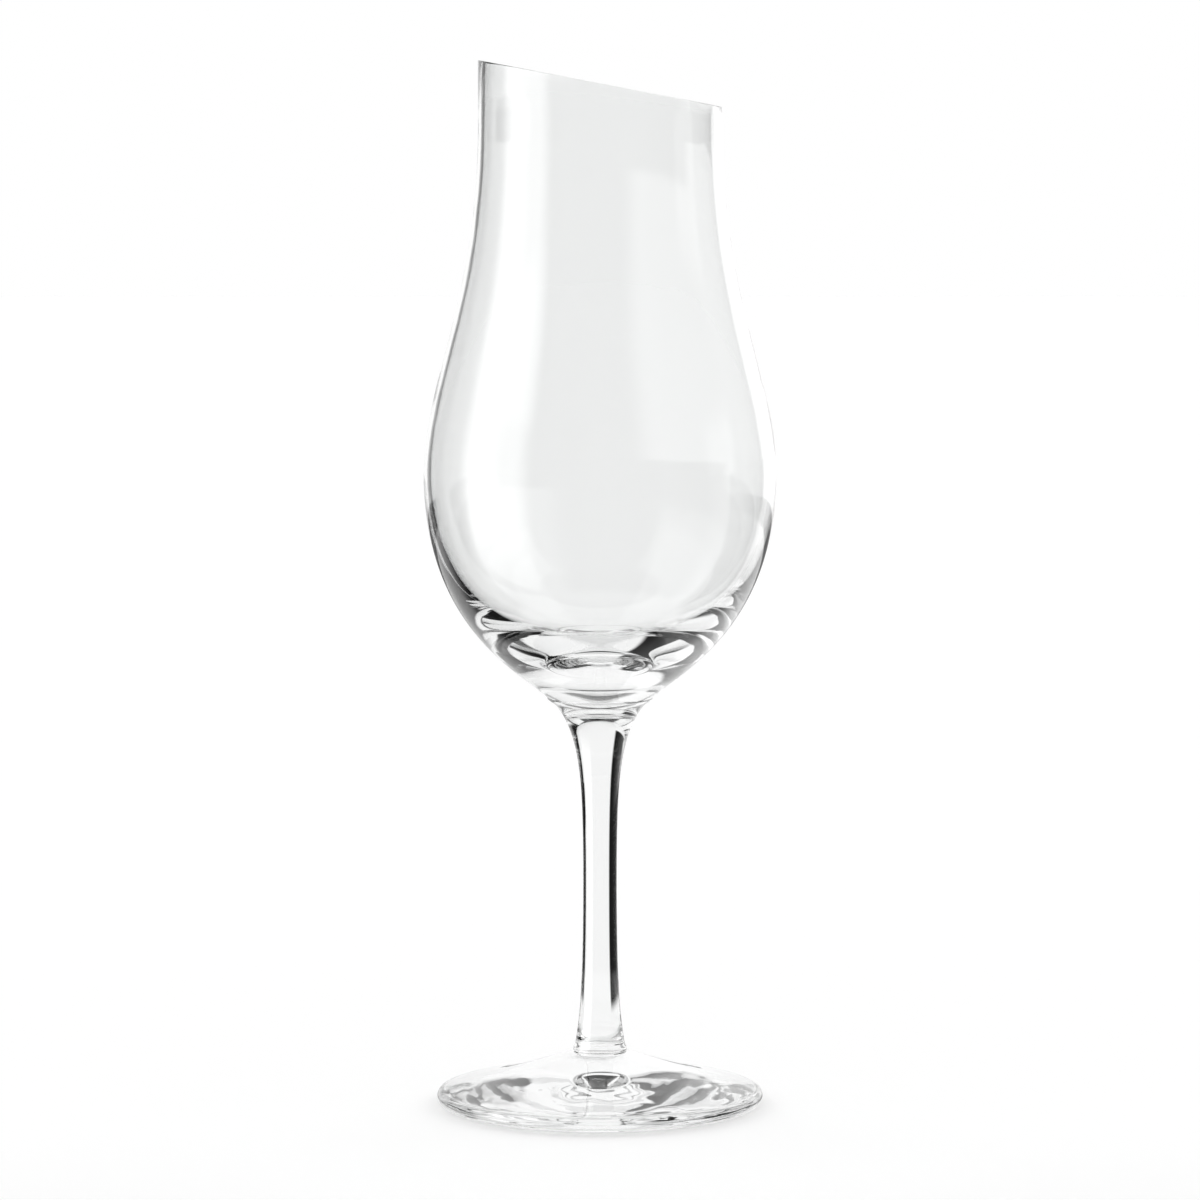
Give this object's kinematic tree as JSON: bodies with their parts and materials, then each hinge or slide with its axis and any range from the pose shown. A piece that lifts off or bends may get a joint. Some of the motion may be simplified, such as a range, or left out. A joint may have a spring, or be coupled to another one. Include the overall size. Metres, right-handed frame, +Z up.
{
  "type": "spirits glass",
  "caption": "Clear stemmed glass with a tulip bowl, a rim cut on a slant, a thin solid stem and a low conical foot, for serving and nosing spirits.",
  "frame": {"origin": "centre of the foot's underside, on the glass's axis, at the height of the ring that it stands on", "axes": "+Z up along the glass's axis; the rim is high towards -Y and low towards +Y, so the picture looks along -X"},
  "size_m": [0.069, 0.069, 0.2049],
  "materials": {
    "clear_glass": "clear, fire-polished"
  },
  "bodies": {
    "root": {"bowl": "clear_glass", "bowl_wafer": "clear_glass", "stem": "clear_glass", "foot_wafer": "clear_glass", "foot": "clear_glass"}
  },
  "joints": []
}
